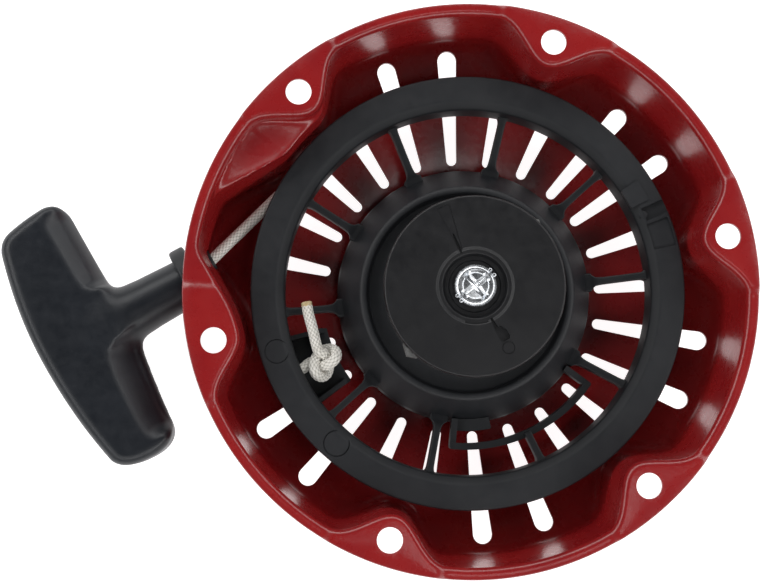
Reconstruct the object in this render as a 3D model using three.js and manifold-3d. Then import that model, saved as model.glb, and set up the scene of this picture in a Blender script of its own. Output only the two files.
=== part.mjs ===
// Recoil starter of a small engine: a pressed steel bowl that bolts to the engine by six
// lobes, holding a spoked plastic reel with a rope, a spiral return spring, two ratchets
// under a guide disc and a T-shaped handle on the rope's end.
// Millimetres, +Z up. The origin is the middle of the bowl's flat back, and +Z runs along
// the reel's axis to the open side. Built-up pieces keep GAP between each other.
import * as THREE from 'three';
import { mergeVertices } from 'three/addons/utils/BufferGeometryUtils.js';
import Module from 'manifold-3d';

const wasm = await Module();
wasm.setup();

// ---- driving dimensions -----------------------------------------------------------------
const GAP = 0.3;
const DEG = Math.PI / 180;

// housing
const FLANGE_Z = 50;            // height of the mounting flange over the flat back
const SHEET = 1.5;              // sheet thickness
const RIM_R = 106.2;
const LIP_R = 103.2;            // inner edge of the narrow lip between the lobes
const LOBES = 6;
const LOBE_PHASE = 11.6;        // degrees from +X to the first bolt hole
const BOLT_R = 96.5;
const BOLT_HOLE_R = 4.75;
const LOBE_TIP_R = 88.3;
const LOBE_HALF_ANGLE = 12.5;
const FLOOR_FLAT_R = 50;
const FLOOR_EDGE_R = 96;
const FLOOR_RISE = 14.5;        // how far the floor domes up towards the wall

// slots in the housing floor
const SLOTS = 24;
const SLOT_PHASE = 4.1;
const SLOT_IN_R = 52.7;
const SLOT_OUT_R = 95.7;
const SLOT_SHORT_R = 76;
const SLOT_W_IN = 4.0;
const SLOT_W_OUT = 7.3;

// reel
const REEL_TOP = 46;            // face that carries the ratchets
const RING_TOP = 33.8;
const RING_R = 82;
const RING_IN_R = 69;
const GROOVE_R = 72.2;
const GROOVE_Z = [21.4, 31.2];
const HUB_R = 49.3;
const BORE_R = 8.3;
const SPOKES = 10;
const SPOKE_PHASE = 6;
const SPOKE_W = 2.8;
const SHORT_SPOKE = 8;          // the spoke that stops at the curved rib
const RIB_R = [57, 60];
const RIB_ARC = [264, 325];
const POCKET_ARC = [195, 216];  // holds the rope's knot
const NOTCH_ANGLE = 23.8;
const RING_ARCS = 5;            // the ring is split at every second spoke

// rope
const ROPE_R = 2.1;
const ROPE_WRAP_R = 76.5;
const ROPE_TOP_Z = 28.8;

// handle and rope guide share one axis
const PULL_ANGLE = 209;
const PULL_Z = 26;
const PULL_AT = [-141.2, -15.8];        // where that axis crosses the grip's middle
const COLLAR_S = [39, 45];              // guide collar, measured along the axis
const COLLAR_SOCKET = 2.7;              // depth that the handle's neck goes into the collar
const SLEEVE_END_S = 50;                // the sleeve stops outside the housing's wall
const GUIDE_END_S = 52.8;
const THROAT_R = 3.9;
const THROAT_SIDE = 3.0;                // the throat through the wall lies a little to one side

// ratchets and their guide disc
const RATCHET_PIVOT_R = 21;
const RATCHET_PIVOT_ANGLES = [189.2, 9.2];
const RATCHET_Z = [46.4, 50.8];
const DISC_R = 33;
const DISC_Z = [54, 59.3];
const RECESS_Z = 57.1;
const HEAD_Z = [57.7, 61.2];

// ---- materials ---------------------------------------------------------------------------
const paint = (name, color, roughness, metalness) =>
  new THREE.MeshStandardMaterial({ name, color, roughness, metalness });
const redPaint = () => paint('red_paint', 0x8c1919, 0.35, 0.1);
const blackPlastic = () => paint('black_plastic', 0x232528, 0.5, 0);
const gripPlastic = () => paint('grip_plastic', 0x23262d, 0.6, 0);
const ropeBraid = () => paint('rope_braid', 0xe1dcd2, 0.9, 0);
const zinc = () => paint('zinc_steel', 0xc8ccd0, 0.3, 1);
const springSteel = () => paint('spring_steel', 0x5a5c60, 0.4, 1);

// ---- solids ------------------------------------------------------------------------------
function solid(geometry) {
  let g = geometry.index ? geometry.clone() : geometry;
  g.deleteAttribute('normal');
  g.deleteAttribute('uv');
  g = mergeVertices(g, 1e-4);
  return new wasm.Manifold(new wasm.Mesh({
    numProp: 3,
    vertProperties: new Float32Array(g.attributes.position.array),
    triVerts: new Uint32Array(g.index.array),
  }));
}

function geometryOf(body) {
  const mesh = body.getMesh();
  const g = new THREE.BufferGeometry();
  g.setAttribute('position', new THREE.BufferAttribute(mesh.vertProperties, 3));
  g.setIndex(new THREE.BufferAttribute(mesh.triVerts, 1));
  return g;
}

const polar = (r, deg, z = 0) => new THREE.Vector3(r * Math.cos(deg * DEG), r * Math.sin(deg * DEG), z);

// turned about Z; the profile is a list of [radius, z] corners, closed here
function turned(profile, segments = 48) {
  const corners = profile.map(([r, z]) => new THREE.Vector2(r, z));
  if (THREE.ShapeUtils.area(corners) < 0) corners.reverse();
  return new THREE.LatheGeometry([...corners, corners[0]], segments).rotateX(Math.PI / 2);
}

function extruded(points, z0, z1) {
  const shape = new THREE.Shape(points.map(([x, y]) => new THREE.Vector2(x, y)));
  return new THREE.ExtrudeGeometry(shape, { depth: z1 - z0, bevelEnabled: false }).translate(0, 0, z0);
}

const turnZ = (geometry, deg) => geometry.rotateZ(deg * DEG);

// a block along the radius at one angle
function radialBlock(r0, r1, width, z0, z1, deg) {
  const g = new THREE.BoxGeometry(r1 - r0, width, z1 - z0).translate((r0 + r1) / 2, 0, (z0 + z1) / 2);
  return turnZ(g, deg);
}

// a ring segment between two angles
function arcBlock(r0, r1, a0, a1, z0, z1, steps = 10) {
  const points = [];
  for (let i = 0; i <= steps; i++) points.push(polar(r1, a0 + (a1 - a0) * i / steps));
  for (let i = steps; i >= 0; i--) points.push(polar(r0, a0 + (a1 - a0) * i / steps));
  return extruded(points.map((p) => [p.x, p.y]), z0, z1);
}

function cylinder(r, z0, z1, x = 0, y = 0, segments = 24) {
  const g = new THREE.CylinderGeometry(r, r, z1 - z0, segments);
  return g.rotateX(Math.PI / 2).translate(x, y, (z0 + z1) / 2);
}

// places a shape made along +Z on the handle's axis: its z becomes the distance towards the reel
function onPullAxis(geometry) {
  const toReel = (PULL_ANGLE - 180) * DEG;
  const m = new THREE.Matrix4().makeBasis(
    new THREE.Vector3(-Math.sin(toReel), Math.cos(toReel), 0),
    new THREE.Vector3(0, 0, 1),
    new THREE.Vector3(Math.cos(toReel), Math.sin(toReel), 0),
  );
  m.setPosition(PULL_AT[0], PULL_AT[1], PULL_Z);
  return geometry.applyMatrix4(m);
}

function pullPoint(s, side = 0, up = 0) {
  const toReel = (PULL_ANGLE - 180) * DEG;
  return new THREE.Vector3(
    PULL_AT[0] + s * Math.cos(toReel) - side * Math.sin(toReel),
    PULL_AT[1] + s * Math.sin(toReel) + side * Math.cos(toReel),
    PULL_Z + up,
  );
}

function tube(points, radius, steps, sides = 10) {
  const circle = new THREE.Shape();
  for (let i = 0; i < sides; i++) {
    const a = 2 * Math.PI * i / sides;
    const p = [radius * Math.cos(a), radius * Math.sin(a)];
    if (i) circle.lineTo(...p);
    else circle.moveTo(...p);
  }
  const path = points.length > 2 ? new THREE.CatmullRomCurve3(points) : new THREE.LineCurve3(...points);
  return new THREE.ExtrudeGeometry(circle, { steps, extrudePath: path, bevelEnabled: false });
}

// ---- housing -----------------------------------------------------------------------------
const clamp = (x, a, b) => Math.min(Math.max(x, a), b);
const softMin = (a, b, k) => {
  const h = clamp(0.5 + 0.5 * (b - a) / k, 0, 1);
  return b + (a - b) * h - k * h * (1 - h);
};
const softMax = (a, b, k) => -softMin(-a, -b, k);
const turnsFrom = (deg, centre) => ((deg - centre + 540) % 360) - 180;
const straightEdge = (deg, distance, normal) => {
  const c = Math.cos(turnsFrom(deg, normal) * DEG);
  return c > 0.2 ? distance / c : 5 * distance;
};

const FLAT_WALL = { distance: 81.3, normal: 210.3, from: 160, to: 192 };  // holds the rope guide
const LEDGE = { distance: 79.7, normal: 119.5, from: 130, to: 160 };      // step beside one lobe

// inner edge of the flange, as a radius at each angle
function flangeEdgeRaw(deg) {
  let r = LIP_R;
  for (let i = 0; i < LOBES; i++) {
    const off = Math.abs(turnsFrom(deg, LOBE_PHASE + i * 360 / LOBES));
    if (off < LOBE_HALF_ANGLE) {
      const bump = Math.cos(Math.PI / 2 * off / LOBE_HALF_ANGLE) ** 2;
      r = Math.min(r, LIP_R - (LIP_R - LOBE_TIP_R) * bump);
    }
  }
  if (deg > FLAT_WALL.from && deg < FLAT_WALL.to) {
    const line = straightEdge(deg, FLAT_WALL.distance, FLAT_WALL.normal);
    r = Math.min(r, softMax(line, LOBE_TIP_R, 3));
  }
  return r;
}

function ledgeEdgeRaw(deg) {
  const r = flangeEdgeRaw(deg);
  if (deg < LEDGE.from || deg > LEDGE.to) return r;
  return Math.min(r, Math.max(straightEdge(deg, LEDGE.distance, LEDGE.normal), LOBE_TIP_R - 1));
}

// rounds the corners of an edge by averaging it over a few degrees
function rounded(edge, deg) {
  let sum = 0;
  let weights = 0;
  for (let k = -4; k <= 4; k++) {
    const w = Math.exp(-k * k / 8);
    sum += w * edge((deg + k * 0.8 + 360) % 360);
    weights += w;
  }
  return sum / weights;
}

// the point of an edge at one angle, moved inwards at right angles to the edge
function edgePoint(edge, deg, inset, z) {
  const p = polar(rounded(edge, deg), deg);
  const a = polar(rounded(edge, deg - 0.5), deg - 0.5);
  const b = polar(rounded(edge, deg + 0.5), deg + 0.5);
  const along = b.sub(a).normalize();
  return new THREE.Vector3(p.x - along.y * inset, p.y + along.x * inset, z);
}

const floorZ = (r) => {
  const outwards = clamp((r - FLOOR_FLAT_R) / (FLOOR_EDGE_R - FLOOR_FLAT_R), 0, 1.05);
  return SHEET + FLOOR_RISE * outwards ** 1.3;
};

// rings of the inner face from the rim to the flat floor: [edge, inset, z]
const WALL_RINGS = [
  [flangeEdgeRaw, 0, FLANGE_Z],
  [flangeEdgeRaw, 0.8, FLANGE_Z - 0.6],
  [flangeEdgeRaw, 2.0, FLANGE_Z - 2.6],
  [flangeEdgeRaw, 2.5, FLANGE_Z - 6.5],
  [ledgeEdgeRaw, 2.7, FLANGE_Z - 7.8],
  [ledgeEdgeRaw, 3.9, FLANGE_Z - 28],
  [ledgeEdgeRaw, 5.0, FLANGE_Z - 31.6],
];
const FLOOR_INSET = 7.5;
const FLOOR_STEPS = [0, 0.4, 1];

function innerPoint(deg, ring) {
  if (ring === 0) return polar(RIM_R, deg, FLANGE_Z);
  if (ring <= WALL_RINGS.length) {
    const [edge, inset, z] = WALL_RINGS[ring - 1];
    const p = edgePoint(edge, deg, inset, z);
    p.z = Math.max(z, floorZ(Math.hypot(p.x, p.y)) + 0.3);
    return p;
  }
  const outer = edgePoint(ledgeEdgeRaw, deg, FLOOR_INSET, 0);
  const p = outer.lerp(polar(FLOOR_FLAT_R, deg), FLOOR_STEPS[ring - WALL_RINGS.length - 1]);
  p.z = floorZ(Math.hypot(p.x, p.y));
  return p;
}

const COLUMN_OFFSETS = [-30, -20, -14, -11, -8.5, -6, -3, 0, 3, 6, 8.5, 11, 14, 20];

function housing() {
  const angles = [];
  for (let i = 0; i < LOBES; i++) {
    COLUMN_OFFSETS.forEach((o) => angles.push((LOBE_PHASE + i * 360 / LOBES + o + 360) % 360));
  }
  angles.sort((a, b) => a - b);
  const rings = 1 + WALL_RINGS.length + FLOOR_STEPS.length;
  const n = angles.length;
  const inner = [];
  const outer = [];
  for (let j = 0; j < rings; j++) {
    for (const deg of angles) {
      const p = innerPoint(deg, j);
      const around = innerPoint((deg + 0.7) % 360, j).sub(innerPoint((deg + 359.3) % 360, j));
      const down = innerPoint(deg, Math.min(j + 1, rings - 1)).sub(innerPoint(deg, Math.max(j - 1, 0)));
      const normal = down.cross(around).normalize();
      if (j === 0 || j === rings - 1) normal.set(0, 0, 1);
      inner.push(p);
      outer.push(p.clone().addScaledVector(normal, -SHEET * Math.sign(normal.z || 1)));
    }
  }
  const points = [...inner, ...outer, new THREE.Vector3(0, 0, SHEET), new THREE.Vector3(0, 0, 0)];
  const back = inner.length;
  const faces = [];
  for (let i = 0; i < n; i++) {
    const k = (i + 1) % n;
    for (let j = 0; j < rings - 1; j++) {
      const [a, b, c, d] = [j * n + i, j * n + k, (j + 1) * n + k, (j + 1) * n + i];
      faces.push(a, b, c, a, c, d);
      faces.push(back + a, back + c, back + b, back + a, back + d, back + c);
    }
    const last = (rings - 1) * n;
    faces.push(last + i, last + k, 2 * back);
    faces.push(back + last + k, back + last + i, 2 * back + 1);
    faces.push(i, back + k, k, i, back + i, back + k);
  }
  const g = new THREE.BufferGeometry();
  g.setAttribute('position', new THREE.Float32BufferAttribute(points.flatMap((p) => [p.x, p.y, p.z]), 3));
  g.setIndex(faces);
  let body = solid(g);
  for (let i = 0; i < LOBES; i++) {
    const at = polar(BOLT_R, LOBE_PHASE + i * 360 / LOBES);
    body = body.subtract(solid(cylinder(BOLT_HOLE_R, FLANGE_Z - 6, FLANGE_Z + 5, at.x, at.y, 20)));
  }
  for (let i = 0; i < SLOTS; i++) {
    const cutter = slotCutter(SLOT_PHASE + i * 360 / SLOTS);
    if (cutter) body = body.subtract(cutter);
  }
  return geometryOf(body.subtract(solid(onPullAxis(cylinder(THROAT_R + GAP, 45, 60, THROAT_SIDE)))));
}

// a slot tapers towards the middle and has round ends; those behind a lobe are short,
// and the two beside the rope are short or missing
function slotCutter(deg) {
  const fromLobe = Math.abs(turnsFrom(deg, LOBE_PHASE)) % 60;
  const besideLobe = Math.min(fromLobe, 60 - fromLobe) < 15;
  const nearRope = deg > 135 && deg < 195;
  if (deg > 180 && nearRope) return null;
  const outR = besideLobe || nearRope ? SLOT_SHORT_R : SLOT_OUT_R;
  const widthAt = (r) => SLOT_W_IN + (SLOT_W_OUT - SLOT_W_IN) * (r - SLOT_IN_R) / (SLOT_OUT_R - SLOT_IN_R);
  const r0 = widthAt(SLOT_IN_R) / 2;
  const r1 = widthAt(outR) / 2;
  const points = [];
  for (let i = 0; i <= 5; i++) {
    const a = -Math.PI / 2 + Math.PI * i / 5;
    points.push([outR - r1 + r1 * Math.cos(a), r1 * Math.sin(a)]);
  }
  for (let i = 0; i <= 4; i++) {
    const a = Math.PI / 2 + Math.PI * i / 4;
    points.push([SLOT_IN_R + r0 + r0 * Math.cos(a), r0 * Math.sin(a)]);
  }
  return solid(turnZ(extruded(points, -6, 30), deg));
}

// ---- centre post and screw ----------------------------------------------------------------
const COLLAR_R = 12.5;
const COLLAR_TOP = 21;
const POST_R = 8;
const STUD_R = 6;
const STUD_TOP = 57.4;
const THREAD_R = 3;
const THREAD_BOTTOM = 38;

function centrePost() {
  return turned([
    [0, SHEET + GAP], [COLLAR_R, SHEET + GAP], [COLLAR_R, COLLAR_TOP], [POST_R, COLLAR_TOP],
    [POST_R, REEL_TOP + 0.4], [STUD_R, REEL_TOP + 0.4], [STUD_R, STUD_TOP],
    [THREAD_R + GAP, STUD_TOP], [THREAD_R + GAP, THREAD_BOTTOM - 1], [0, THREAD_BOTTOM - 1],
  ], 24);
}

function setScrew() {
  const [z0, z1] = HEAD_Z;
  const headR = 7.8;
  let body = solid(turned([
    [0, THREAD_BOTTOM], [THREAD_R, THREAD_BOTTOM + 1], [THREAD_R, z0], [headR, z0],
    [headR, z1 - 0.9], [headR - 0.8, z1 - 0.2], [headR - 2, z1], [0, z1],
  ], 24));
  const cut = (w, l, depth, deg) =>
    turnZ(new THREE.BoxGeometry(l, w, 2 * depth).translate(0, 0, z1), deg);
  body = body.subtract(solid(cut(1.7, 2.2 * headR, 0.9, 62)));
  body = body.subtract(solid(cut(1.8, 9, 2, 17)));
  return geometryOf(body.subtract(solid(cut(1.8, 9, 2, 107))));
}

// ---- reel ----------------------------------------------------------------------------------
// one moulding in the real part; here its hub, drum, ring and spokes are simple bodies of their own
const KNOT = { angle: 204.8, r: 61, z: 25, size: 6.8 };
const HUB_OUT_R = 30;
const SPOKE_END_R = RING_IN_R - GAP;

// the inverted cup that turns on the post and carries the ratchets' pins
function reelHub() {
  let body = solid(turned([
    [BORE_R, COLLAR_TOP + 0.5], [BORE_R, REEL_TOP], [HUB_OUT_R - 1, REEL_TOP], [HUB_OUT_R, REEL_TOP - 1],
    [HUB_OUT_R, 20], [27.8, 20], [27.8, REEL_TOP - 2.5], [11, REEL_TOP - 2.5], [11, COLLAR_TOP + 0.5],
  ]));
  for (const a of RATCHET_PIVOT_ANGLES) {
    const at = polar(RATCHET_PIVOT_R, a);
    body = body.add(solid(cylinder(2.75, REEL_TOP - 1, 53.2, at.x, at.y, 16)));
  }
  return geometryOf(body);
}

// the trough round the hub, its raised lip and the cone down to the spokes
function reelDrum() {
  return turned([
    [HUB_OUT_R + GAP, 22.5], [37.6, 22.5], [37.6, 26.2], [38.6, 27.2], [39.8, 27.2], [40.8, 26.2],
    [HUB_R, 12.4], [HUB_R, 9.5], [47, 9.5], [47, 11.5], [39.6, 21], [37.2, 20], [37.2, 6], [35, 6],
    [35, 20], [HUB_OUT_R + GAP, 20],
  ]);
}

// the grooved ring that the rope is wound on
function wholeRing() {
  let body = solid(turned([
    [RING_IN_R, 22.3], [RING_IN_R + 0.5, 30.2], [70.8, 32.8], [73.2, RING_TOP], [RING_R - 0.7, RING_TOP],
    [RING_R, RING_TOP - 0.7], [RING_R, GROOVE_Z[1]], [GROOVE_R, GROOVE_Z[1]], [GROOVE_R, GROOVE_Z[0]],
    [RING_R, GROOVE_Z[0]], [RING_R, 19.4], [70, 19.4],
  ]));
  // recess in the ring's front flange, with a small pin standing in it
  const notchFloor = GROOVE_Z[1] + 0.8;
  const notch = radialBlock(GROOVE_R + 0.6, RING_R + 2, 5.2, notchFloor, RING_TOP + 2, NOTCH_ANGLE);
  body = body.subtract(solid(notch));
  const pin = polar(GROOVE_R + 0.4, NOTCH_ANGLE);
  body = body.add(solid(cylinder(1.6, notchFloor - 0.3, RING_TOP - 0.6, pin.x, pin.y, 12)));
  // the rope's way from the knot through the ring
  const hole = turnZ(cylinder(ROPE_R + GAP, 0, 12, 0, 0, 12).rotateY(Math.PI / 2), KNOT.angle);
  return body.subtract(solid(hole.translate(...polar(RING_IN_R - 4, KNOT.angle, KNOT.z).toArray())));
}

function ringArc(ring, index) {
  const step = 360 / RING_ARCS;
  const halfGap = GAP / 2 / RING_IN_R / DEG;
  const start = SPOKE_PHASE + index * step;
  const sector = arcBlock(HUB_R, RING_R + 6, start + halfGap, start + step - halfGap, 0, REEL_TOP);
  return geometryOf(ring.intersect(solid(sector)));
}

// a rib from the drum's cone up to the ring
const SPOKE_SIDE = [
  [HUB_R + GAP, 10], [SPOKE_END_R, 18.9], [SPOKE_END_R, 25.2], [47.4, 17], [HUB_R + GAP, 12.8],
];

function spoke(deg, side = SPOKE_SIDE) {
  return turnZ(extruded(side, -SPOKE_W / 2, SPOKE_W / 2).rotateX(Math.PI / 2), deg);
}

// the curved rib between two spokes, its end walls, and the short spoke from it to the ring
function reelRib() {
  let body = solid(arcBlock(RIB_R[0], RIB_R[1], RIB_ARC[0], RIB_ARC[1], 11, 18));
  RIB_ARC.forEach((a) => {
    body = body.add(solid(radialBlock(HUB_R + GAP, RIB_R[1] - 0.5, 2.5, 11, 17, a)));
  });
  const inner = RIB_R[0] + 1;
  const side = [[inner, 14.5], [SPOKE_END_R, 18.9], [SPOKE_END_R, 25.2], [inner, 19.5]];
  return geometryOf(body.add(solid(spoke(spokeAngle(SHORT_SPOKE), side))));
}

function knotPocket() {
  const [a0, a1] = POCKET_ARC;
  const floor = solid(arcBlock(55.5, SPOKE_END_R, a0, a1, 14.5, 16.8, 6));
  const side = (a) => solid(radialBlock(57, SPOKE_END_R - 0.1, 1.8, 15, 22, a));
  return geometryOf(floor.add(side(a0 + 0.8)).add(side(a1 - 0.8)));
}

const spokeAngle = (i) => SPOKE_PHASE + i * 360 / SPOKES;

// ---- recoil spring ---------------------------------------------------------------------------
function recoilSpring() {
  const turns = 5;
  const [r0, r1] = [14, 34.1];
  const thick = 0.8;
  const steps = turns * 20;
  const outline = [];
  const at = (i, off) => polar(r0 + (r1 - r0) * i / steps + off, 360 * turns * i / steps);
  for (let i = 0; i <= steps; i++) outline.push(at(i, thick / 2));
  for (let i = steps; i >= 0; i--) outline.push(at(i, -thick / 2));
  return extruded(outline.map((p) => [p.x, p.y]), 6.6, 18.6);
}

// ---- rope --------------------------------------------------------------------------------------
function ropeCoil() {
  const low = GROOVE_Z[0] + GAP;
  const high = GROOVE_Z[1] - GAP;
  const inner = GROOVE_R + GAP;
  const topR = ROPE_WRAP_R - ROPE_R - GAP;
  const outer = ROPE_WRAP_R + ROPE_R;
  const step = 25;       // the outer turns stay below the rope that leaves the reel
  return turned([
    [inner, low], [outer, low], [outer, step], [topR, step], [topR, high], [inner, high],
  ], 48);
}

function ropeRun() {
  const exit = pullPoint(GUIDE_END_S - 0.4, THROAT_SIDE);
  const spread = Math.acos(ROPE_WRAP_R / Math.hypot(exit.x, exit.y)) / DEG;
  const touch = polar(ROPE_WRAP_R, Math.atan2(exit.y, exit.x) / DEG - spread, ROPE_TOP_Z);
  return tube([exit, touch], ROPE_R, 8);
}

function ropeLead() {
  return onPullAxis(cylinder(ROPE_R, -6.0, SLEEVE_END_S - 1, 0, 0, 10));
}

function ropeInner() {
  const from = polar(KNOT.r + KNOT.size + 0.4, KNOT.angle, KNOT.z);
  return tube([from, polar(GROOVE_R + GAP - 0.3, KNOT.angle, KNOT.z)], ROPE_R, 2);
}

function ropeKnot() {
  const at = polar(KNOT.r, KNOT.angle, KNOT.z);
  return new THREE.IcosahedronGeometry(KNOT.size, 2).scale(1, 1, 0.85).translate(at.x, at.y, at.z);
}

function ropeTail() {
  const foot = polar(KNOT.r, KNOT.angle, KNOT.z);
  const route = [[-1.6, 6.9, 2.2], [-3.4, 12, 3.6], [-4.8, 17, 4.3], [-5.7, 21.9, 4.6]];
  return tube(route.map(([x, y, z]) => foot.clone().add(new THREE.Vector3(x, y, z))), ROPE_R, 8);
}

function handleRopeKnot() {
  return onPullAxis(new THREE.IcosahedronGeometry(5.6, 2).translate(0, 0, -12));
}

// ---- handle --------------------------------------------------------------------------------------
// outline of the grip seen along Z, in [towards the reel, along the bar]; its outer side bows out
function gripOutline() {
  const s = new THREE.Shape();
  s.moveTo(6, 49.6);
  s.quadraticCurveTo(13.2, 49.4, 13.6, 41);
  s.quadraticCurveTo(13.8, 25, 14, 13);
  s.lineTo(14, -13);
  s.quadraticCurveTo(11.8, -26, 10.6, -42);
  s.quadraticCurveTo(9.6, -51, 0, -51.6);
  s.quadraticCurveTo(-13, -52, -15.8, -45.5);
  s.quadraticCurveTo(-20.9, -24, -20.9, 0);
  s.quadraticCurveTo(-20.9, 20, -15.2, 41.5);
  s.quadraticCurveTo(-13.4, 46.6, -8, 47.6);
  s.quadraticCurveTo(-1, 49.2, 6, 49.6);
  return s;
}

function handleGrip() {
  const half = 9;
  const bevel = 3.5;
  const bar = new THREE.ExtrudeGeometry(gripOutline(), {
    depth: 2 * (half - bevel), curveSegments: 4,
    bevelEnabled: true, bevelSize: bevel, bevelThickness: bevel + 2, bevelOffset: -bevel, bevelSegments: 2,
  });
  const m = new THREE.Matrix4().makeBasis(
    new THREE.Vector3(0, 0, 1), new THREE.Vector3(1, 0, 0), new THREE.Vector3(0, 1, 0));
  bar.translate(0, 0, -(half - bevel)).applyMatrix4(m);
  const end = COLLAR_S[0] + COLLAR_SOCKET - GAP - 0.2;
  const neck = turned([[0, 6], [11.5, 6], [10.6, 17], [9.8, 24], [9.2, end], [0, end]], 24);
  let body = solid(onPullAxis(bar)).add(solid(onPullAxis(neck)));
  body = body.subtract(solid(onPullAxis(cylinder(ROPE_R + 0.5, -30, 60, 0, 0, 16))));
  return geometryOf(body.subtract(solid(onPullAxis(cylinder(8, -30, -4, 0, 0, 24)))));
}

function handleRetainer() {
  return onPullAxis(turned([[ROPE_R + 0.4, -5.9], [7.5, -5.9], [7.5, -4.4], [ROPE_R + 0.4, -4.4]], 24));
}

function ropeGuide() {
  const [c0, c1] = COLLAR_S;
  const sleeveR = 7.0;
  const collar = turned([
    [3.6, c0 + COLLAR_SOCKET], [9.9, c0 + COLLAR_SOCKET], [9.9, c0], [12.2, c0], [13, c0 + 1],
    [13, c1 - 1], [12.2, c1], [sleeveR, c1], [sleeveR, SLEEVE_END_S], [2.9, SLEEVE_END_S],
    [2.9, c0 + COLLAR_SOCKET + 1.5],
  ], 24);
  const throat = cylinder(THROAT_R, SLEEVE_END_S - 1, GUIDE_END_S, THROAT_SIDE);
  const passage = cylinder(2.9, SLEEVE_END_S - 3, GUIDE_END_S + 3, THROAT_SIDE - 0.4);
  const body = solid(onPullAxis(collar)).add(solid(onPullAxis(throat)));
  return geometryOf(body.subtract(solid(onPullAxis(passage))));
}

// ---- ratchets and guide ------------------------------------------------------------------------
// one ratchet, pivot at the origin, its tip along +X
function ratchet(pivotAngle) {
  const length = 22;
  const rest = 75.5;
  const shape = new THREE.Shape();
  shape.absarc(0, 0, 4.6, 100 * DEG, 285 * DEG, false);
  shape.lineTo(length - 4, -3.2);
  shape.lineTo(length, -1.6);
  shape.lineTo(length + 0.4, 2.2);
  shape.lineTo(length - 6, 3.6);
  shape.closePath();
  shape.holes.push(new THREE.Path().absarc(0, 0, 3.05, 0, 2 * Math.PI, true));
  const [z0, z1] = RATCHET_Z;
  const g = new THREE.ExtrudeGeometry(shape, { depth: z1 - z0, bevelEnabled: false, curveSegments: 8 });
  const at = polar(RATCHET_PIVOT_R, pivotAngle, z0);
  return g.rotateZ((pivotAngle + rest) * DEG).translate(at.x, at.y, at.z);
}

function ratchetSpring(pivotAngle) {
  const at = polar(RATCHET_PIVOT_R, pivotAngle);
  const coil = solid(turned([[3.1, 51.2], [4.2, 51.2], [4.2, 53.2], [3.1, 53.2]], 16));
  const leg = new THREE.BoxGeometry(9, 0.9, 0.9).translate(6.5, 3.6, 51.7);
  const body = coil.add(solid(turnZ(leg, pivotAngle + 75.5)));
  return geometryOf(body).translate(at.x, at.y, 0);
}

function ratchetGuide() {
  const [z0, z1] = DISC_Z;
  let body = solid(turned([
    [STUD_R + 0.5, z0], [DISC_R - 0.5, z0], [DISC_R, z0 + 0.6], [DISC_R, z1 - 0.7], [DISC_R - 0.8, z1],
    [14, z1], [13.2, RECESS_Z], [STUD_R + 0.5, RECESS_Z],
  ], 48));
  for (const a of [60, 240]) body = body.add(solid(arcBlock(12.2, 15.2, a, a + 50, 47.2, z0 + 1, 5)));
  for (const a of [112, -64]) body = body.subtract(solid(radialBlock(16, 31.5, 1.2, z1 - 0.5, z1 + 1, a)));
  return geometryOf(body);
}

function frictionSpring() {
  const clip = solid(turned([[6.4, 49.6], [7.8, 49.6], [7.8, 51], [6.4, 51]], 24));
  const mouth = solid(radialBlock(3, 10, 4.5, 49, 52, 20));
  const leg = (a) => solid(radialBlock(7.3, 11.9, 1.2, 49.7, 50.9, a));
  return geometryOf(clip.subtract(mouth).add(leg(70)).add(leg(-35)));
}

// ---- assembly ---------------------------------------------------------------------------------
const starter = new THREE.Group();
const add = (name, geometry, material) => {
  const mesh = new THREE.Mesh(geometry, material);
  mesh.name = name;
  starter.add(mesh);
};

add('housing', housing(), redPaint());
add('center_post', centrePost(), zinc());
add('set_screw', setScrew(), zinc());
add('rope_guide', ropeGuide(), blackPlastic());
add('reel_hub', reelHub(), blackPlastic());
add('reel_drum', reelDrum(), blackPlastic());
const ring = wholeRing();
for (let i = 0; i < RING_ARCS; i++) add(`reel_ring_${i + 1}`, ringArc(ring, i), blackPlastic());
add('reel_rib', reelRib(), blackPlastic());
add('knot_pocket', knotPocket(), blackPlastic());
for (let i = 0; i < SPOKES; i++) {
  if (i !== SHORT_SPOKE) add(`spoke_${i + 1}`, spoke(spokeAngle(i)), blackPlastic());
}
add('recoil_spring', recoilSpring(), springSteel());
add('rope_coil', ropeCoil(), ropeBraid());
add('rope_run', ropeRun(), ropeBraid());
add('rope_lead', ropeLead(), ropeBraid());
add('rope_inner', ropeInner(), ropeBraid());
add('rope_knot', ropeKnot(), ropeBraid());
add('rope_tail', ropeTail(), ropeBraid());
add('handle_grip', handleGrip(), gripPlastic());
add('handle_retainer', handleRetainer(), zinc());
add('handle_rope_knot', handleRopeKnot(), ropeBraid());
RATCHET_PIVOT_ANGLES.forEach((a, i) => {
  add(`ratchet_${i + 1}`, ratchet(a), springSteel());
  add(`ratchet_spring_${i + 1}`, ratchetSpring(a), springSteel());
});
add('ratchet_guide', ratchetGuide(), blackPlastic());
add('friction_spring', frictionSpring(), springSteel());

export default starter;
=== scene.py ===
# Recoil starter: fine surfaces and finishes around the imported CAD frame.
# Lengths are written in millimetres and turned into metres by MM; +Z is the reel's axis.
import math

import bpy
import numpy as np
from mathutils import Matrix, Vector


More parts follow.
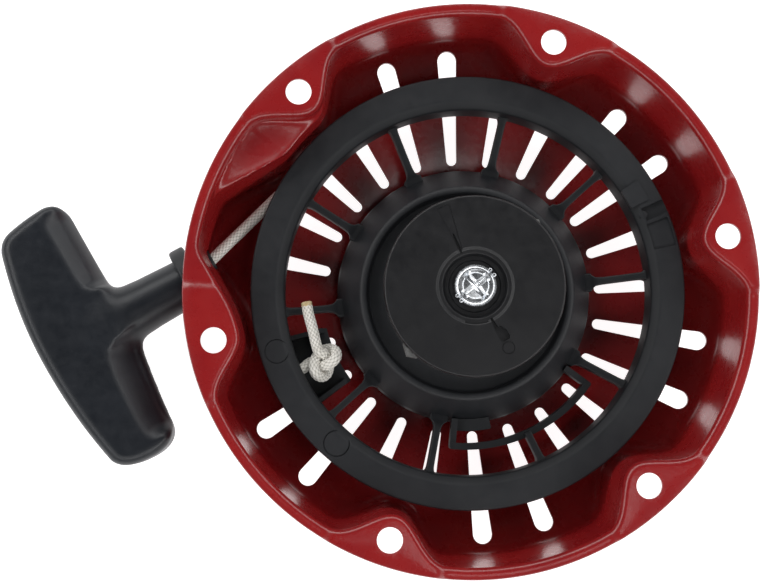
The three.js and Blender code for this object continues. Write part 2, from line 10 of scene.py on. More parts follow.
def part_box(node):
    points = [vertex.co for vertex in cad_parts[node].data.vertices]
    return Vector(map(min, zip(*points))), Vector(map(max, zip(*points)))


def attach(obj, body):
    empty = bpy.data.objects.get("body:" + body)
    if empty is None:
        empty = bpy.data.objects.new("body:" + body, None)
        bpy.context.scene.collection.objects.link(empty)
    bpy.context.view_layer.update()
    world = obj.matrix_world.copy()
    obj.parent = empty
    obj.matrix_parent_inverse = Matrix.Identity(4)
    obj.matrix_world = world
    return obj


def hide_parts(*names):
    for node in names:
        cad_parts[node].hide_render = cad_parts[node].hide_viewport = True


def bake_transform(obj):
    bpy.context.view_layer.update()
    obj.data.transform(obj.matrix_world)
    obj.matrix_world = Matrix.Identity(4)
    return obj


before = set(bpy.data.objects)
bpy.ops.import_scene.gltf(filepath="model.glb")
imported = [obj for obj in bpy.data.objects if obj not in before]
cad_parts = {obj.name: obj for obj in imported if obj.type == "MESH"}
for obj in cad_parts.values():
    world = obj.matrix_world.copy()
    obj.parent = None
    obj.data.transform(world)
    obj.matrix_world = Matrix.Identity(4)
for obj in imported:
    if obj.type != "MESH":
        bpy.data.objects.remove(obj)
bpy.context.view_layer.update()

MM = 0.001
TAU = 2 * math.pi

# ---- sizes read from the frame ------------------------------------------------------------
def high_corner(node):
    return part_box(node)[1] / MM


REEL_NODES = [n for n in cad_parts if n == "knot_pocket" or n.startswith(("reel", "spoke_"))]
RIM_R, _, FLANGE_Z = high_corner("housing")
DISC_R, _, DISC_TOP = high_corner("ratchet_guide")
HEAD_R, _, HEAD_TOP = high_corner("set_screw")
RING_R = max(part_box(n)[1].x for n in REEL_NODES) / MM

# the axis that the handle, its guide and the rope's lead share
PULL_ANGLE = 209
PULL_Z = 26
PULL_AT = (-141.2, -15.8)   # where the handle's axis crosses the middle of the grip
COLLAR_S = (39, 45)         # places along that axis, measured towards the reel
SLEEVE_END_S = 50
GUIDE_END_S = 52.8
THROAT_R = 3.9
THROAT_SIDE = 3.0           # the throat through the wall lies a little to one side


# ---- helpers --------------------------------------------------------------------------------
def polar(r, deg, z=0.0):
    a = math.radians(deg)
    return np.array([r * math.cos(a), r * math.sin(a), z])


def smoothstep(low, high, x):
    t = np.clip((x - low) / (high - low), 0, 1)
    return t * t * (3 - 2 * t)


def make_object(name, verts, faces, material=None, sharp_deg=40):
    """A smooth-shaded object from points in millimetres."""
    mesh = bpy.data.meshes.new(name)
    mesh.from_pydata((np.asarray(verts, float) * MM).tolist(), [], [list(map(int, f)) for f in faces])
    mesh.validate()
    obj = bpy.data.objects.new(name, mesh)
    bpy.context.scene.collection.objects.link(obj)
    finish_mesh(obj, material, sharp_deg)
    return obj


def finish_mesh(obj, material, sharp_deg=40):
    mesh = obj.data
    for polygon in mesh.polygons:
        polygon.use_smooth = True
    mesh.set_sharp_from_angle(angle=math.radians(sharp_deg))
    if material:
        mesh.materials.clear()
        mesh.materials.append(material)


def grid_faces(rows, columns, close_columns=True):
    """Quads over a grid of points stored row by row."""
    faces = []
    last = columns if close_columns else columns - 1
    for j in range(rows - 1):
        for i in range(last):
            k = (i + 1) % columns
            faces.append((j * columns + i, j * columns + k, (j + 1) * columns + k, (j + 1) * columns + i))
    return faces


def ring_stack(rings, fan_start=None, fan_end=None):
    """Vertices and faces of closed rings joined in order, with optional middle points at the ends."""
    columns = len(rings[0])
    verts = [p for ring in rings for p in ring]
    faces = grid_faces(len(rings), columns)
    if fan_start is not None:
        verts.append(fan_start)
        faces += [((i + 1) % columns, i, len(verts) - 1) for i in range(columns)]
    if fan_end is not None:
        verts.append(fan_end)
        base = (len(rings) - 1) * columns
        faces += [(base + i, base + (i + 1) % columns, len(verts) - 1) for i in range(columns)]
    return np.array(verts), faces


def lathe(profile, segments=256):
    """A solid turned about Z from a closed list of (radius, z); points on the axis are merged."""
    points = list(profile)
    area = sum(a[0] * b[1] - b[0] * a[1] for a, b in zip(points, points[1:] + points[:1]))
    if area < 0:
        points.reverse()
    angles = np.arange(segments) * TAU / segments
    verts = []
    index = []
    for r, z in points:
        if r < 1e-6:
            index.append([len(verts)] * segments)
            verts.append((0, 0, z))
        else:
            index.append(list(range(len(verts), len(verts) + segments)))
            verts += [(r * math.cos(a), r * math.sin(a), z) for a in angles]
    faces = []
    for row, following in zip(index, index[1:] + index[:1]):
        for i in range(segments):
            k = (i + 1) % segments
            face = [row[i], row[k], following[k], following[i]]
            face = [v for n, v in enumerate(face) if v not in face[:n]]
            if len(face) > 2:
                faces.append(face)
    return np.array(verts, float), faces


def rounded_profile(corners, steps=5):
    """Rounds the corners (r, z, radius) of a closed profile with arcs."""
    out = []
    count = len(corners)
    for i, (r, z, radius) in enumerate(corners):
        here = np.array([r, z], float)
        if not radius:
            out.append(tuple(here))
            continue
        before = np.array(corners[i - 1][:2], float) - here
        after = np.array(corners[(i + 1) % count][:2], float) - here
        lb, la = np.linalg.norm(before), np.linalg.norm(after)
        before, after = before / lb, after / la
        angle = math.acos(np.clip(before @ after, -1, 1))
        reach = min(radius / math.tan(angle / 2), 0.49 * lb, 0.49 * la)
        a, b = here + before * reach, here + after * reach
        for s in np.linspace(0, 1, steps + 1):
            out.append(tuple((1 - s) ** 2 * a + 2 * s * (1 - s) * here + s * s * b))
    return out


def extrude(outline, z0, z1):
    """A prism over a counter-clockwise outline of (x, y)."""
    n = len(outline)
    verts = [(x, y, z0) for x, y in outline] + [(x, y, z1) for x, y in outline]
    faces = [tuple(range(n - 1, -1, -1)), tuple(range(n, 2 * n))]
    faces += [(i, (i + 1) % n, n + (i + 1) % n, n + i) for i in range(n)]
    return np.array(verts, float), faces


def turn(verts, deg):
    a = math.radians(deg)
    c, s = math.cos(a), math.sin(a)
    v = np.array(verts, float)
    return np.c_[v[:, 0] * c - v[:, 1] * s, v[:, 0] * s + v[:, 1] * c, v[:, 2]]


def joined(*parts):
    """Several (verts, faces) as one."""
    verts, faces = [], []
    for v, f in parts:
        base = sum(len(x) for x in verts)
        verts.append(np.asarray(v, float))
        faces += [tuple(i + base for i in face) for face in f]
    return np.vstack(verts), faces


def cut(obj, cutters, sharp_deg=40, operation="DIFFERENCE"):
    """Cuts closed shapes out of an object and keeps the result as its mesh."""
    tool = make_object("cutter", *joined(*cutters))
    modifier = obj.modifiers.new("cut", "BOOLEAN")
    modifier.operation = operation
    modifier.solver = "EXACT"
    modifier.object = tool
    graph = bpy.context.evaluated_depsgraph_get()
    result = bpy.data.meshes.new_from_object(obj.evaluated_get(graph))
    obj.modifiers.clear()
    old = obj.data
    obj.data = result
    obj.data.name = old.name
    bpy.data.meshes.remove(old)
    tool_mesh = tool.data
    bpy.data.objects.remove(tool)
    bpy.data.meshes.remove(tool_mesh)
    finish_mesh(obj, obj.data.materials[0] if obj.data.materials else None, sharp_deg)


def circle_outline(r, count, x=0.0, y=0.0):
    return [(x + r * math.cos(TAU * i / count), y + r * math.sin(TAU * i / count)) for i in range(count)]


def on_pull_axis(verts):
    """Shapes made along Z, placed on the handle's axis: z becomes the distance towards the reel."""
    a = math.radians(PULL_ANGLE - 180)
    x_axis = np.array([-math.sin(a), math.cos(a), 0])
    z_axis = np.array([math.cos(a), math.sin(a), 0])
    v = np.asarray(verts, float)
    start = np.array([*PULL_AT, PULL_Z])
    return start + v[:, :1] * x_axis + v[:, 1:2] * np.array([0, 0, 1.0]) + v[:, 2:3] * z_axis


def place(obj, body, material_slot, *nodes):
    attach(obj, body)
    if nodes:
        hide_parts(*nodes)
    return obj


# ---- materials --------------------------------------------------------------------------------
class Finish:
    """Small builder for a procedural material around one Principled shader."""

    def __init__(self, name, roughness, metallic=0.0):
        self.material = bpy.data.materials.new(name)
        self.material.use_nodes = True
        self.nodes = self.material.node_tree.nodes
        self.links = self.material.node_tree.links
        self.shader = self.nodes["Principled BSDF"]
        self.shader.inputs["Roughness"].default_value = roughness
        self.shader.inputs["Metallic"].default_value = metallic
        self.coordinates = self.nodes.new("ShaderNodeTexCoord")
        self.normal = None

    def noise(self, scale, detail=4.0, rough=0.6, stretch=None):
        node = self.nodes.new("ShaderNodeTexNoise")
        node.inputs["Scale"].default_value = scale
        node.inputs["Detail"].default_value = detail
        node.inputs["Roughness"].default_value = rough
        source = self.coordinates.outputs["Object"]
        if stretch:
            mapping = self.nodes.new("ShaderNodeMapping")
            mapping.inputs["Scale"].default_value = stretch
            self.links.new(source, mapping.inputs["Vector"])
            source = mapping.outputs["Vector"]
        self.links.new(source, node.inputs["Vector"])
        return node.outputs["Fac"]

    def weave(self):
        # the strands' height, which the rope's colour uses to paint shade into the gaps between strands
        node = self.nodes.new("ShaderNodeAttribute")
        node.attribute_name = "weave"
        return node.outputs["Fac"]

    def ramp(self, value, stops):
        node = self.nodes.new("ShaderNodeValToRGB")
        elements = node.color_ramp.elements
        while len(elements) < len(stops):
            elements.new(0.5)
        for element, (place_at, colour) in zip(elements, stops):
            element.position = place_at
            element.color = (*colour, 1) if len(colour) == 3 else colour
        self.links.new(value, node.inputs["Fac"])
        return node.outputs["Color"]

    def mix(self, factor, a, b, blend="MIX"):
        node = self.nodes.new("ShaderNodeMix")
        node.data_type = "RGBA"
        node.blend_type = blend
        for socket, value in ((node.inputs[0], factor), (node.inputs[6], a), (node.inputs[7], b)):
            if isinstance(value, (int, float)):
                socket.default_value = value
            elif isinstance(value, tuple):
                socket.default_value = (*value, 1)
            else:
                self.links.new(value, socket)
        return node.outputs[2]

    def colour(self, output):
        self.links.new(output, self.shader.inputs["Base Color"])

    def roughness(self, value, low, high):
        node = self.nodes.new("ShaderNodeMapRange")
        node.inputs["To Min"].default_value = low
        node.inputs["To Max"].default_value = high
        self.links.new(value, node.inputs["Value"])
        self.links.new(node.outputs["Result"], self.shader.inputs["Roughness"])

    def bump(self, height, distance_mm, strength=1.0):
        node = self.nodes.new("ShaderNodeBump")
        node.inputs["Distance"].default_value = distance_mm * MM
        node.inputs["Strength"].default_value = strength
        self.links.new(height, node.inputs["Height"])
        if self.normal:
            self.links.new(self.normal, node.inputs["Normal"])
        self.normal = node.outputs["Normal"]
        self.links.new(self.normal, self.shader.inputs["Normal"])


def red_paint():
    f = Finish("red_paint", 0.3)
    patches = f.noise(35, 3)
    f.colour(f.ramp(patches, [(0.3, (0.205, 0.006, 0.008)), (0.7, (0.262, 0.010, 0.010))]))
    peel = f.noise(420, 2.5, 0.5)
    f.roughness(f.noise(160, 4), 0.2, 0.36)
    f.bump(peel, 0.16, 0.55)
    f.bump(f.noise(2200, 2), 0.02, 0.5)
    f.shader.inputs["Coat Weight"].default_value = 0.2
    f.shader.inputs["Coat Roughness"].default_value = 0.18
    return f.material


def moulded_black(name, dark, light, roughness, grain):
    f = Finish(name, roughness)
    dust = f.noise(60, 6, 0.7)
    f.colour(f.ramp(dust, [(0.35, dark), (0.75, light)]))
    f.roughness(f.noise(240, 5, 0.65), roughness - 0.1, roughness + 0.12)
    f.shader.inputs["Specular IOR Level"].default_value = 0.4
    f.bump(f.noise(grain, 3), 0.05, 0.4)
    f.bump(f.noise(90, 3), 0.12, 0.25)
    return f.material


def rope_braid():
    f = Finish("rope_braid", 0.85)
    fibres = f.noise(2600, 4, 0.7)
    soil = f.noise(150, 4)
    clean = f.ramp(fibres, [(0.3, (0.70, 0.67, 0.60)), (0.65, (0.90, 0.89, 0.85))])
    worn = f.mix(f.ramp(soil, [(0.45, (0, 0, 0)), (0.75, (0.3, 0.3, 0.3))]), clean, (0.47, 0.42, 0.33))
    # painted shade: a brownish dark where the strands dip, in the gaps of the weave
    f.colour(f.mix(f.ramp(f.weave(), [(0.3, (0, 0, 0)), (0.85, (1, 1, 1))]), (0.2, 0.185, 0.15), worn))
    f.bump(fibres, 0.05, 0.6)
    f.shader.inputs["Sheen Weight"].default_value = 0.15
    return f.material


def rope_tip():
    f = Finish("rope_tip", 0.45)
    burn = f.noise(500, 4)
    f.colour(f.ramp(burn, [(0.35, (0.42, 0.31, 0.14)), (0.65, (0.66, 0.56, 0.36))]))
    f.bump(burn, 0.1, 0.5)
    return f.material


def plated_zinc():
    f = Finish("plated_zinc", 0.25, 1.0)
    cloud = f.noise(300, 5, 0.7)
    f.colour(f.ramp(cloud, [(0.3, (0.55, 0.57, 0.60)), (0.7, (0.80, 0.82, 0.84))]))
    f.roughness(cloud, 0.16, 0.38)
    f.bump(f.noise(900, 4), 0.03, 0.6)
    return f.material


def dark_steel():
    f = Finish("dark_steel", 0.4, 1.0)
    cloud = f.noise(400, 5, 0.7)
    f.colour(f.ramp(cloud, [(0.3, (0.16, 0.16, 0.17)), (0.7, (0.30, 0.30, 0.31))]))
    f.roughness(cloud, 0.3, 0.5)
    f.bump(f.noise(1500, 3, 0.6, (1, 1, 0.15)), 0.02, 0.5)
    return f.material


def grey_steel():
    f = Finish("grey_steel", 0.5, 0.9)
    cloud = f.noise(350, 5, 0.7)
    f.colour(f.ramp(cloud, [(0.3, (0.20, 0.20, 0.20)), (0.7, (0.34, 0.34, 0.33))]))
    f.roughness(cloud, 0.4, 0.6)
    f.bump(f.noise(1200, 4), 0.03, 0.6)
    return f.material


RED = red_paint()
REEL_BLACK = moulded_black("reel_black", (0.006, 0.007, 0.009), (0.013, 0.014, 0.016), 0.54, 1400)
DISC_BLACK = moulded_black("disc_black", (0.006, 0.006, 0.007), (0.011, 0.011, 0.012), 0.4, 1800)
GRIP_BLACK = moulded_black("grip_black", (0.005, 0.0065, 0.0095), (0.009, 0.011, 0.015), 0.4, 2200)
ROPE = rope_braid()
TIP = rope_tip()
ZINC = plated_zinc()
STEEL = dark_steel()
GREY_STEEL = grey_steel()


# ---- camera, light and floor ----------------------------------------------------------------------
def make_camera():
    """Nearly straight above the open side, leaning a few degrees."""
    distance = 0.6
    lean_x, lean_y = -0.0788, 0.0391
    shift = Vector((0.0335, 0.0023, -distance))
    lean = Matrix.Rotation(lean_x, 4, "X") @ Matrix.Rotation(lean_y, 4, "Y")
    to_camera = Matrix.Translation(shift) @ lean @ Matrix.Translation((0, 0, -FLANGE_Z * MM))
    data = bpy.data.cameras.new("camera")
    data.sensor_width = 36
    data.lens = 77.38
    camera = bpy.data.objects.new("camera", data)
    bpy.context.scene.collection.objects.link(camera)
    camera.matrix_world = to_camera.inverted()
    bpy.context.scene.camera = camera


# softboxes in a closed ring round the lens, with the ring's power in watts by direction
SOFTBOXES = 16
RING_DEG = (10, 55, 100, 145, 190, 235, 280, 325)
RING_POWER = (1.7, 1.6, 2.0, 2.2, 1.6, 1.3, 1.7, 2.1)
RING_LEAN = 57              # degrees from straight above
SOFTBOX_DISTANCE = 1.15
SOFTBOX_AIM = Vector((0, 0, 0.02))


def softbox(deg, lean, size, power):
    """A rectangular light in metres and watts that faces the middle of the bowl."""
    a = math.radians(lean)
    x, y, _ = polar(SOFTBOX_DISTANCE * math.sin(a), deg)
    at = Vector((x, y, SOFTBOX_DISTANCE * math.cos(a)))
    data = bpy.data.lights.new(f"softbox_{deg}", "AREA")
    data.shape = "RECTANGLE"
    data.size, data.size_y = size
    data.energy = power
    light = bpy.data.objects.new(data.name, data)
    bpy.context.scene.collection.objects.link(light)
    light.location = at
    light.rotation_euler = (SOFTBOX_AIM - at).to_track_quat("-Z", "Y").to_euler()


def make_stage():
    reach = 3000
    floor, faces = extrude([(-reach, -reach), (reach, -reach), (reach, reach), (-reach, reach)], -20, -0.2)
    f = Finish("floor", 0.8)
    f.colour(f.ramp(f.noise(3, 2), [(0.3, (0.5, 0.5, 0.5)), (0.7, (0.53, 0.53, 0.53))]))
    f.shader.inputs["Emission Color"].default_value = (1, 1, 1, 1)
    f.shader.inputs["Emission Strength"].default_value = 0.93
    make_object("floor", floor, faces, f.material)
    for i in range(SOFTBOXES):
        deg = i * 360 / SOFTBOXES
        power = float(np.interp(deg, RING_DEG, RING_POWER, period=360))
        softbox(deg, RING_LEAN, (0.4, 0.36), power)
    softbox(310, 12, (0.2, 0.2), 0.45)
    world = bpy.data.worlds.new("studio")
    world.use_nodes = True
    background = world.node_tree.nodes["Background"]
    background.inputs["Color"].default_value = (0.95, 0.97, 1.0, 1)
    background.inputs["Strength"].default_value = 0.05
    bpy.context.scene.world = world
    bpy.context.scene.view_settings.view_transform = "Standard"


# ---- housing ------------------------------------------------------------------------------------
SHEET = 1.5
LIP_R = 103.2
LOBES = 6
LOBE_PHASE = 11.6
LOBE_HALF_ANGLE = 12.5
LOBE_TIP_R = 88.3
ROPE_WALL = 81.3           # distance from the axis to the flat wall that the rope comes through
BOLT_R = 96.5
BOLT_HOLE_R = 4.75
ROPE_WALL_NORMAL = 210.3
ROPE_WALL_SPAN = (160, 192)
LEDGE = 79.7               # the same for the step beside one lobe
LEDGE_NORMAL = 119.5
LEDGE_SPAN = (130, 160)
FLOOR_FLAT_R = 50
FLOOR_EDGE_R = 96
FLOOR_RISE = 14.5          # how far the floor domes up towards the wall
LIP_DROP = 1.2             # the lip between two lobes lies a little lower than the lobes
WALL_TOP_RADIUS = 2.4
WALL_FOOT_RADIUS = 4.2
WALL_INSET = 3.9
SLOTS = 24
SLOT_PHASE = 4.1
SLOT_IN_R = 52.7
SLOT_OUT_R = 95.7
SLOT_SHORT_R = 76          # behind a lobe and beside the rope
SLOT_W_IN = 4.0
SLOT_W_OUT = 7.3


def turns_from(deg, centre):
    return (deg - centre + 540) % 360 - 180


def soft_min(a, b, k):
    h = np.clip(0.5 + 0.5 * (b - a) / k, 0, 1)
    return b + (a - b) * h - k * h * (1 - h)


def straight_edge(deg, distance, normal):
    c = np.cos(np.radians(turns_from(deg, normal)))
    return np.where(c > 0.2, distance / np.maximum(c, 0.2), 5 * distance)


def flange_edge_raw(deg):
    """Inner edge of the flange as a radius at each angle."""
    r = np.full_like(deg, LIP_R)
    for i in range(LOBES):
        off = np.abs(turns_from(deg, LOBE_PHASE + i * 360 / LOBES))
        bump = np.cos(math.pi / 2 * np.minimum(off / LOBE_HALF_ANGLE, 1)) ** 2
        r = np.minimum(r, LIP_R - (LIP_R - LOBE_TIP_R) * bump)
    wall = straight_edge(deg, ROPE_WALL, ROPE_WALL_NORMAL)
    line = -soft_min(-wall, np.full_like(deg, -LOBE_TIP_R), 3)
    inside = (deg > ROPE_WALL_SPAN[0]) & (deg < ROPE_WALL_SPAN[1])
    return np.where(inside, np.minimum(r, line), r)


def ledge_edge_raw(deg):
    r = flange_edge_raw(deg)
    line = np.maximum(straight_edge(deg, LEDGE, LEDGE_NORMAL), LOBE_TIP_R - 1)
    inside = (deg >= LEDGE_SPAN[0]) & (deg <= LEDGE_SPAN[1])
    return np.where(inside, np.minimum(r, line), r)


def rounded_edge(raw, deg):
    """An edge averaged over a few degrees, which rounds its corners."""
    total = np.zeros_like(deg)
    weights = 0
    for k in range(-6, 7):
        w = math.exp(-k * k / 12)
        total += w * raw((deg + k * 0.5) % 360)
        weights += w
    return total / weights


class Edge:
    """A closed edge in the flange plane with its inward direction."""

    def __init__(self, raw, deg):
        def at(d):
            r = rounded_edge(raw, d % 360)
            a = np.radians(d)
            return np.c_[r * np.cos(a), r * np.sin(a)]

        self.points = at(deg)
        along = at(deg + 0.4) - at(deg - 0.4)
        along /= np.linalg.norm(along, axis=1)[:, None]
        self.inward = np.c_[-along[:, 1], along[:, 0]]

    def inset(self, amount):
        return self.points + self.inward * amount


def floor_z(r):
    out = np.clip((r - FLOOR_FLAT_R) / (FLOOR_EDGE_R - FLOOR_FLAT_R), 0, 1.05)
    return SHEET + FLOOR_RISE * out**1.3


def lobe_level(deg):
    """1 on the lobes, 0 on the lip between them."""
    level = np.zeros_like(deg)
    for i in range(LOBES):
        off = np.abs(turns_from(deg, LOBE_PHASE + i * 360 / LOBES))
        level = np.maximum(level, 1 - smoothstep(10.9, 13.2, off))
    return level


def housing_rings(columns):
    """Rings of the inner face from the rim to the middle of the floor."""
    deg = np.arange(columns) * 360 / columns
    a = np.radians(deg)
    rim = np.c_[np.cos(a), np.sin(a)] * (RIM_R - 0.5)
    upper = Edge(flange_edge_raw, deg)
    lower = Edge(ledge_edge_raw, deg)
    lip = LIP_DROP * (1 - lobe_level(deg))
    rings = []

    def add(xy, z):
        rings.append(np.c_[xy, z])

    for s in (0, 0.5):
        add(rim * (1 - s) + upper.points * s, FLANGE_Z - lip)
    for phi in np.radians(np.linspace(0, 87, 8)):
        drop = WALL_TOP_RADIUS * (1 - math.cos(phi))
        add(upper.inset(WALL_TOP_RADIUS * (math.sin(phi) - 0.35)), FLANGE_Z - lip - drop)
    top_z = FLANGE_Z - WALL_TOP_RADIUS
    # rows down the wall, close together where the ledge steps out of it
    ledge_rows = np.linspace(0.13, 0.24, 14)
    for t in np.concatenate([np.linspace(0.04, 0.12, 3), ledge_rows, np.linspace(0.3, 1, 12)]):
        inset = WALL_TOP_RADIUS * 0.65 + (WALL_INSET - WALL_TOP_RADIUS * 0.65) * t
        foot = lower.inset(inset)
        foot_z = floor_z(np.hypot(*foot.T)) + WALL_FOOT_RADIUS
        z = top_z + (foot_z - top_z) * t
        share = smoothstep(-(FLANGE_Z - 6.2), -(FLANGE_Z - 8.6), -z)[:, None]
        add(upper.inset(inset) * (1 - share) + foot * share, z - lip * (1 - t) ** 6)
    for phi in np.radians(np.linspace(12, 90, 8)):
        xy = lower.inset(WALL_INSET + WALL_FOOT_RADIUS * (1 - math.cos(phi)))
        add(xy, floor_z(np.hypot(*xy.T)) + WALL_FOOT_RADIUS * (1 - math.sin(phi)))
    outer = lower.inset(WALL_INSET + WALL_FOOT_RADIUS)
    flat = np.c_[np.cos(a), np.sin(a)] * FLOOR_FLAT_R
    for s in np.linspace(0.08, 1, 13):
        xy = outer * (1 - s) + flat * s
        add(xy, floor_z(np.hypot(*xy.T)))
    for s in (0.75, 0.5, 0.25, 0.08):
        add(flat * s, np.full(columns, SHEET))
    return rings


def make_housing():
    """The inner face, offset by the sheet's thickness to its outer face, with holes and slots."""
    columns = 600
    inner = np.array(housing_rings(columns))
    along = np.roll(inner, -1, 1) - np.roll(inner, 1, 1)
    down = np.empty_like(inner)
    down[1:-1] = inner[2:] - inner[:-2]
    down[0], down[-1] = inner[1] - inner[0], inner[-1] - inner[-2]
    normal = np.cross(down, along)
    normal /= np.linalg.norm(normal, axis=2)[:, :, None]
    normal[normal[:, :, 2] < 0] *= -1
    outer = inner - normal * SHEET
    outer[-5:, :, 2] = np.maximum(outer[-5:, :, 2], 0)
    rim = []
    for out, down_by in ((0.3, 0.15), (0.5, 0.75), (0.3, SHEET - 0.15)):
        ring = inner[0].copy()
        ring[:, :2] *= (RIM_R - 0.5 + out) / (RIM_R - 0.5)
        ring[:, 2] -= down_by
        rim.append(ring)
    rings = list(inner[::-1]) + rim + list(outer)
    verts, faces = ring_stack(rings, np.array([0, 0, SHEET]), np.array([0, 0, 0.0]))
    obj = make_object("housing_shell", verts, faces, RED)
    cutters = [
        extrude(circle_outline(BOLT_HOLE_R, 48, *polar(BOLT_R, LOBE_PHASE + i * 360 / LOBES)[:2]), 42, 56)
        for i in range(LOBES)
    ]
    cutters += [c for c in (slot_cutter(SLOT_PHASE + i * 360 / SLOTS) for i in range(SLOTS)) if c]
    hole, hole_faces = extrude(circle_outline(THROAT_R + 0.3, 40, THROAT_SIDE), 45, 60)
    cutters.append((on_pull_axis(hole), hole_faces))
    cut(obj, cutters)
    place(obj, "base", "red_paint", "housing")


def slot_cutter(deg):
    """A slot that tapers towards the middle, with round ends."""
    from_lobe = abs(turns_from(deg, LOBE_PHASE)) % 60
    beside_lobe = min(from_lobe, 60 - from_lobe) < 15
    near_rope = 135 < deg < 195
    if near_rope and deg > 180:
        return None
    out_r = SLOT_SHORT_R if beside_lobe or near_rope else SLOT_OUT_R

    def half_width(r):
        return (SLOT_W_IN + (SLOT_W_OUT - SLOT_W_IN) * (r - SLOT_IN_R) / (SLOT_OUT_R - SLOT_IN_R)) / 2

    def half_circle(centre, r, start, count):
        angles = np.linspace(start, start + math.pi, count)
        return [(centre + r * math.cos(a), r * math.sin(a)) for a in angles]

    r0, r1 = half_width(SLOT_IN_R), half_width(out_r)
    tip = half_circle(out_r - r1, r1, -math.pi / 2, 17)
    heel = half_circle(SLOT_IN_R + r0, r0, math.pi / 2, 13)
    verts, faces = extrude(tip + heel, -6, 30)
    return turn(verts, deg), faces


# ---- reel -----------------------------------------------------------------------------------------
RING_TOP = 33.8
RING_IN_R = 69
GROOVE_R = 72.2
GROOVE_Z = (21.4, 31.2)
HUB_R = 49.3
REEL_FACE = 46
BORE_R = 8.3
SPOKES = 10
SPOKE_PHASE = 6
SPOKE_W = 2.6
SHORT_SPOKE = 8
RIB_R = (57, 59.6)
RIB_ARC = (264, 325)
POCKET_ARC = (195, 216)
NOTCH_ANGLE = 23.8
RATCHET_PIVOT_R = 21
RATCHET_PIVOT_ANGLES = (189.2, 9.2)
KNOT_ANGLE = 204.8
KNOT_R = 61
KNOT_Z = 25


def arc_block(r0, r1, a0, a1, z0, z1, corner=0.0, steps=24):
    """A ring segment. A corner radius rounds its four corners seen from above."""
    outline = [tuple(polar(r1, a)[:2]) for a in np.linspace(a0, a1, steps + 1)]
    outline += [tuple(polar(r0, a)[:2]) for a in np.linspace(a1, a0, steps + 1)]
    if corner:
        marks = {0, steps, steps + 1, 2 * steps + 1}
        corners = [(x, y, corner if i in marks else 0) for i, (x, y) in enumerate(outline)]
        keep = [c for i, c in enumerate(corners) if min(abs(i - m) for m in marks) != 1]
        outline = rounded_profile(keep)
    return extrude(outline, z0, z1)


def radial_block(r0, r1, width, z0, z1, deg):
    verts, faces = extrude([(r0, -width / 2), (r1, -width / 2), (r1, width / 2), (r0, width / 2)], z0, z1)
    return turn(verts, deg), faces


def disc_block(r, z0, z1, x=0.0, y=0.0, edge=0.3, segments=48):
    verts, faces = lathe(rounded_profile([(0, z0, 0), (r, z0, 0), (r, z1, edge), (0, z1, 0)], 3), segments)
    return verts + np.array([x, y, 0]), faces


def soft_section(half, low, high, edge=0.6):
    """A rounded rectangle in (across, z)."""
    corners = [(-half, low, 0.2), (half, low, 0.2), (half, high, edge), (-half, high, edge)]
    return rounded_profile(corners, 4)


def spoke(deg, short):
    """A rib from the hub up to the ring that flares where it meets them."""
    r0 = RIB_R[0] + 0.8 if short else HUB_R - 2.5
    r1 = RING_IN_R + 1.2
    near_hub = np.linspace(r0, r0 + 7, 12)
    near_ring = np.linspace(r1 - 3, r1, 7)
    rings = []
    for r in np.concatenate([near_hub, np.linspace(r0 + 8, r1 - 4, 6), near_ring]):
        t = (r - (HUB_R - 3)) / (RING_IN_R + 1.5 - HUB_R + 3)
        to_hub = 99 if short else max(r - HUB_R, 0)
        to_ring = max(RING_IN_R + 0.3 - r, 0)
        flare = 2.2 * math.exp(-to_hub / 1.1) + 0.9 * math.exp(-to_ring / 0.8)
        low = 10 + 9.6 * t
        high = 16.6 + 9.2 * t - 1.2 * math.exp(-to_hub / 2)
        rings.append([(r, a, z) for a, z in soft_section(SPOKE_W / 2 + flare, low, high)])
    verts, faces = ring_stack(np.array(rings), np.mean(rings[0], 0), np.mean(rings[-1], 0))
    return turn(verts, deg), faces


def make_reel():
    """One moulding, built up from its drum, ring, spokes and small features."""
    obj = make_object("reel_moulding", *reel_drum(), REEL_BLACK)
    cut(obj, [reel_ring()], operation="UNION")
    for i in range(SPOKES):
        cut(obj, [spoke(SPOKE_PHASE + i * 360 / SPOKES, i == SHORT_SPOKE)], operation="UNION")
    for shape in reel_additions():
        cut(obj, [shape], operation="UNION")
    for shape in reel_recesses():
        cut(obj, [shape])
    pin = disc_block(1.6, GROOVE_Z[1] + 0.1, RING_TOP - 0.6, *polar(GROOVE_R + 0.4, NOTCH_ANGLE)[:2])
    cut(obj, [pin], operation="UNION")
    place(obj, "reel_body", "black_plastic", *REEL_NODES)


def reel_drum():
    """The hub, the spring's drum and the cone down to the spokes."""
    return lathe(rounded_profile([
        (BORE_R, 21.5, 0), (BORE_R, REEL_FACE, 0.4), (29, REEL_FACE, 0.8), (30, 22.5, 1.5),
        (37.4, 22.5, 1.2), (38.1, 27.4, 1.3), (40.6, 27.2, 2.2), (HUB_R - 0.6, 13.2, 1.6),
        (HUB_R, 9.5, 0.3), (47, 9.5, 0.3), (47, 11.5, 0.5), (39.6, 21, 1), (37.2, 20, 0.3),
        (37.2, 6, 0.3), (35, 6, 0.3), (35, 20, 0.3), (27.8, 20, 0.3), (27.8, 43.5, 0.5),
        (11, 43.5, 0.5), (11, 21.5, 0.3),
    ]), 256)


def reel_ring():
    """The ring with the rope's groove round it."""
    low, high = GROOVE_Z
    return lathe(rounded_profile([
        (RING_IN_R, 20.5, 0.5), (RING_IN_R + 0.3, 31.6, 1.6), (72.4, RING_TOP - 0.1, 2.2),
        (RING_R, RING_TOP - 0.4, 1.1), (RING_R, high, 0.4), (GROOVE_R, high, 0.5),
        (GROOVE_R, low, 0.5), (RING_R, low, 0.5), (RING_R, 19.4, 0.4), (70, 19.4, 0.4),
    ]), 320)


